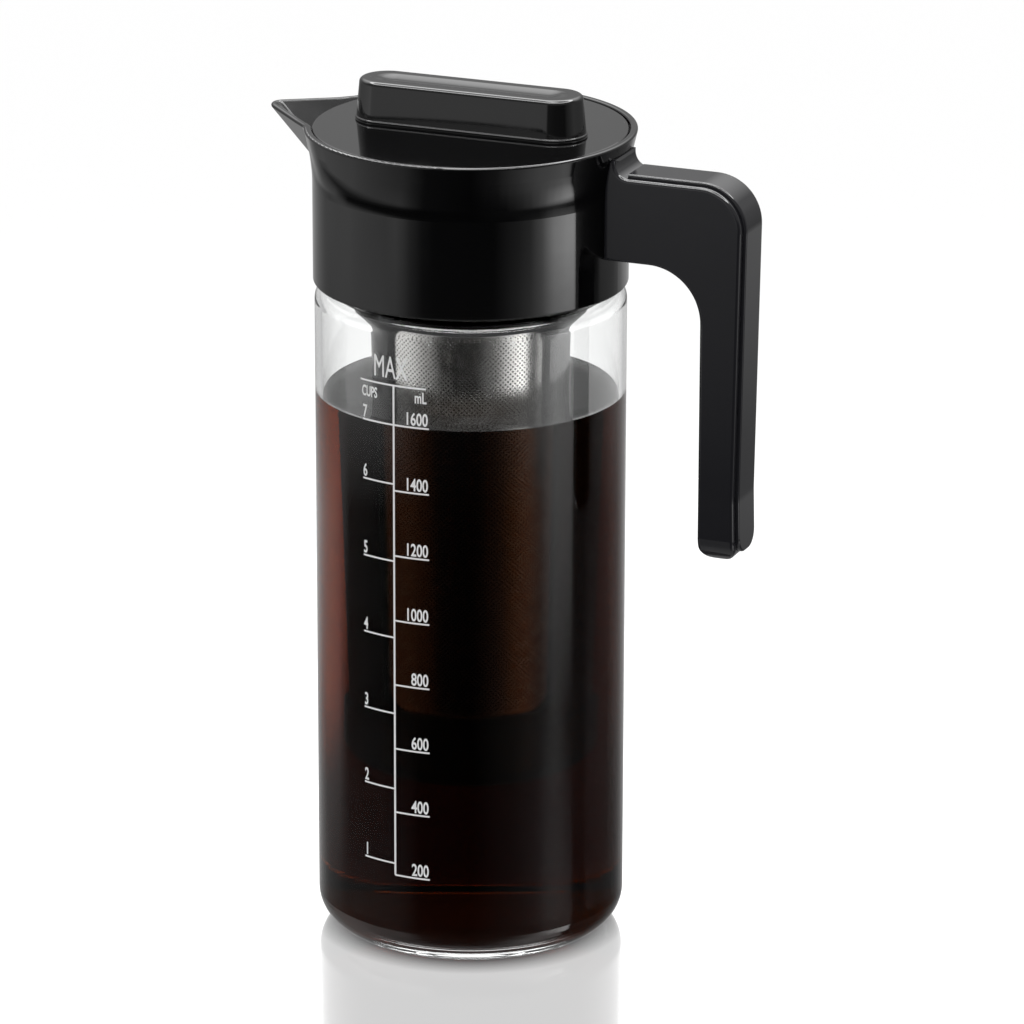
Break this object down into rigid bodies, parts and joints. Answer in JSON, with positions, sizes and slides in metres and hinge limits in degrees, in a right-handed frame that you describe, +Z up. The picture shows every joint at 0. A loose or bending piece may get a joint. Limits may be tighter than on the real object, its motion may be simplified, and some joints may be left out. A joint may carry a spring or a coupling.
{
  "type": "cold brew pitcher",
  "caption": "Tall glass cold brew pitcher with a black spouted collar, an L-shaped handle, a turning lift-off lid with a bar knob and a hanging mesh filter.",
  "frame": {"origin": "centre of the glass base, on the surface the pitcher stands on", "axes": "+Z up along the glass axis, +X towards the handle, -X towards the spout, +Y to the pitcher's left as seen from the handle's side"},
  "size_m": [0.1804, 0.1156, 0.3069],
  "materials": {
    "glass": "clear, polished",
    "black_plastic": "high gloss",
    "frame_plastic": "semi-gloss",
    "mesh_steel": "perforated, satin",
    "silicone": "matt silicone",
    "screw_steel": "plain"
  },
  "bodies": {
    "pitcher": {"glass_carafe": "glass", "neck_gasket": "silicone", "neck_clamp_ring": "frame_plastic", "collar_shell": "black_plastic", "handle_body": "black_plastic", "handle_cover": "black_plastic", "handle_screws": "screw_steel"},
    "filter": {"filter_frame": "frame_plastic", "filter_mesh": "mesh_steel", "filter_bottom_cup": "frame_plastic"},
    "lid_seal": {"lid_gasket": "silicone"},
    "lid": {"lid_top": "black_plastic", "lid_plug": "frame_plastic", "lid_knob": "black_plastic", "lid_screws": "screw_steel"}
  },
  "joints": [
    {"name": "filter_lift", "type": "slide", "parent": "pitcher", "child": "filter", "axis": [0, 0, 1], "range_m": [0, 0.235]},
    {"name": "lid_lift", "type": "slide", "parent": "filter", "child": "lid_seal", "axis": [0, 0, 1], "range_m": [0, 0.06]},
    {"name": "lid_turn", "type": "hinge", "parent": "lid_seal", "child": "lid", "pos_m": [0, 0, 0.2899], "axis": [0, 0, 1], "continuous": true}
  ]
}
